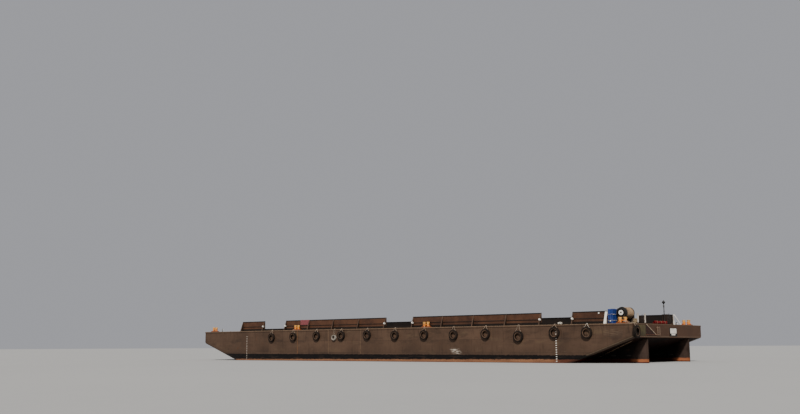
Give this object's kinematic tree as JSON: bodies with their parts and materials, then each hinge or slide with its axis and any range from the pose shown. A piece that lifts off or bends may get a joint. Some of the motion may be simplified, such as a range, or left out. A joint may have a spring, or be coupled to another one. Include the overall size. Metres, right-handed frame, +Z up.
{
  "type": "river barge, 1:2 scale model",
  "caption": "Flat-top deck cargo barge with raked ends, stern skegs, side boards, tyre fenders, bitts, a rope winch, hinged hatch and locker lids and a folding light mast",
  "frame": {"origin": "middle of the bounding box on the flat bottom, where the hull stands", "axes": "+X toward the stern along the length, +Y to the far side, +Z up; the pictured near side faces -Y and the water level is at z = 0.34 m"},
  "size_m": [35.2504, 9.4506, 3.8003],
  "materials": {
    "hull_plating": "weathered brown paint with rust streaks and an orange band at the waterline",
    "hull_bottom": "weathered dark paint over rust",
    "side_boards": "dull brown paint, coal-black inside",
    "tyre_rubber": "worn matte rubber",
    "bitt_paint": "orange-yellow paint, worn to rust",
    "dark_steel": "worn grey-brown paint",
    "rope": "laid rope, faded",
    "blue_cover": "woven plastic cover",
    "black_paint": "dull black paint",
    "red_cover": "faded red cloth"
  },
  "bodies": {
    "barge": {"hull": "hull_plating", "skeg_near": "hull_bottom", "skeg_far": "hull_bottom", "coaming_near": "side_boards", "coaming_far": "side_boards", "side_board_near_1": "side_boards", "side_board_near_2": "side_boards", "side_board_near_3": "side_boards", "side_board_near_4": "side_boards", "side_board_far_1": "side_boards", "side_board_far_2": "side_boards", "side_board_far_3": "side_boards", "side_board_far_4": "side_boards", "tyre_fender_near_1": "tyre_rubber", "tyre_fender_near_2": "tyre_rubber", "tyre_fender_near_3": "tyre_rubber", "tyre_fender_near_4": "tyre_rubber", "tyre_fender_near_5": "tyre_rubber", "tyre_fender_near_6": "tyre_rubber", "tyre_fender_near_7": "tyre_rubber", "tyre_fender_near_8": "tyre_rubber", "tyre_fender_near_9": "tyre_rubber", "tyre_fender_near_10": "tyre_rubber", "tyre_fender_near_11": "tyre_rubber", "tyre_fender_near_12": "tyre_rubber", "tyre_fender_far_1": "tyre_rubber", "tyre_fender_far_2": "tyre_rubber", "tyre_fender_far_3": "tyre_rubber", "tyre_fender_far_4": "tyre_rubber", "tyre_fender_far_5": "tyre_rubber", "tyre_fender_far_6": "tyre_rubber", "tyre_fender_far_7": "tyre_rubber", "tyre_fender_far_8": "tyre_rubber", "tyre_fender_far_9": "tyre_rubber", "tyre_fender_far_10": "tyre_rubber", "tyre_fender_far_11": "tyre_rubber", "tyre_fender_far_12": "tyre_rubber", "tyre_fender_small": "tyre_rubber", "tyre_fender_stern": "tyre_rubber", "bitts_bow_near": "bitt_paint", "bitts_bow_far": "bitt_paint", "bitts_forward_near": "bitt_paint", "bitts_forward_far": "bitt_paint", "bitts_middle_near": "bitt_paint", "bitts_middle_far": "bitt_paint", "bitts_stern_near": "bitt_paint", "bitts_stern_far": "bitt_paint", "winch_bed": "dark_steel", "power_pack": "dark_steel", "power_pack_cover": "blue_cover", "rope_coil": "rope", "hatch_trunk": "black_paint", "deck_locker": "black_paint", "mast_foot": "dark_steel", "rolled_cover": "red_cover", "stern_ladder": "dark_steel"},
    "winch_drum": {"winch_drum": "rope"},
    "hatch_lid": {"hatch_lid": "black_paint"},
    "deck_locker_lid": {"deck_locker_lid": "black_paint"},
    "light_mast": {"light_mast": "black_paint"}
  },
  "joints": [
    {"name": "winch_drum_turn", "type": "hinge", "parent": "barge", "child": "winch_drum", "pos_m": [16.17485, 0, 3.05], "axis": [0, 1, 0], "continuous": true},
    {"name": "hatch_lid_hinge", "type": "hinge", "parent": "barge", "child": "hatch_lid", "pos_m": [17.03485, 0, 2.8603], "axis": [0, -1, 0], "range_deg": [0, 100]},
    {"name": "deck_locker_lid_hinge", "type": "hinge", "parent": "barge", "child": "deck_locker_lid", "pos_m": [16.91985, 0, 3.0003], "axis": [0, -1, 0], "range_deg": [0, 100]},
    {"name": "light_mast_fold", "type": "hinge", "parent": "barge", "child": "light_mast", "pos_m": [17.17485, 0, 2.5503], "axis": [0, -1, 0], "range_deg": [0, 85]}
  ]
}
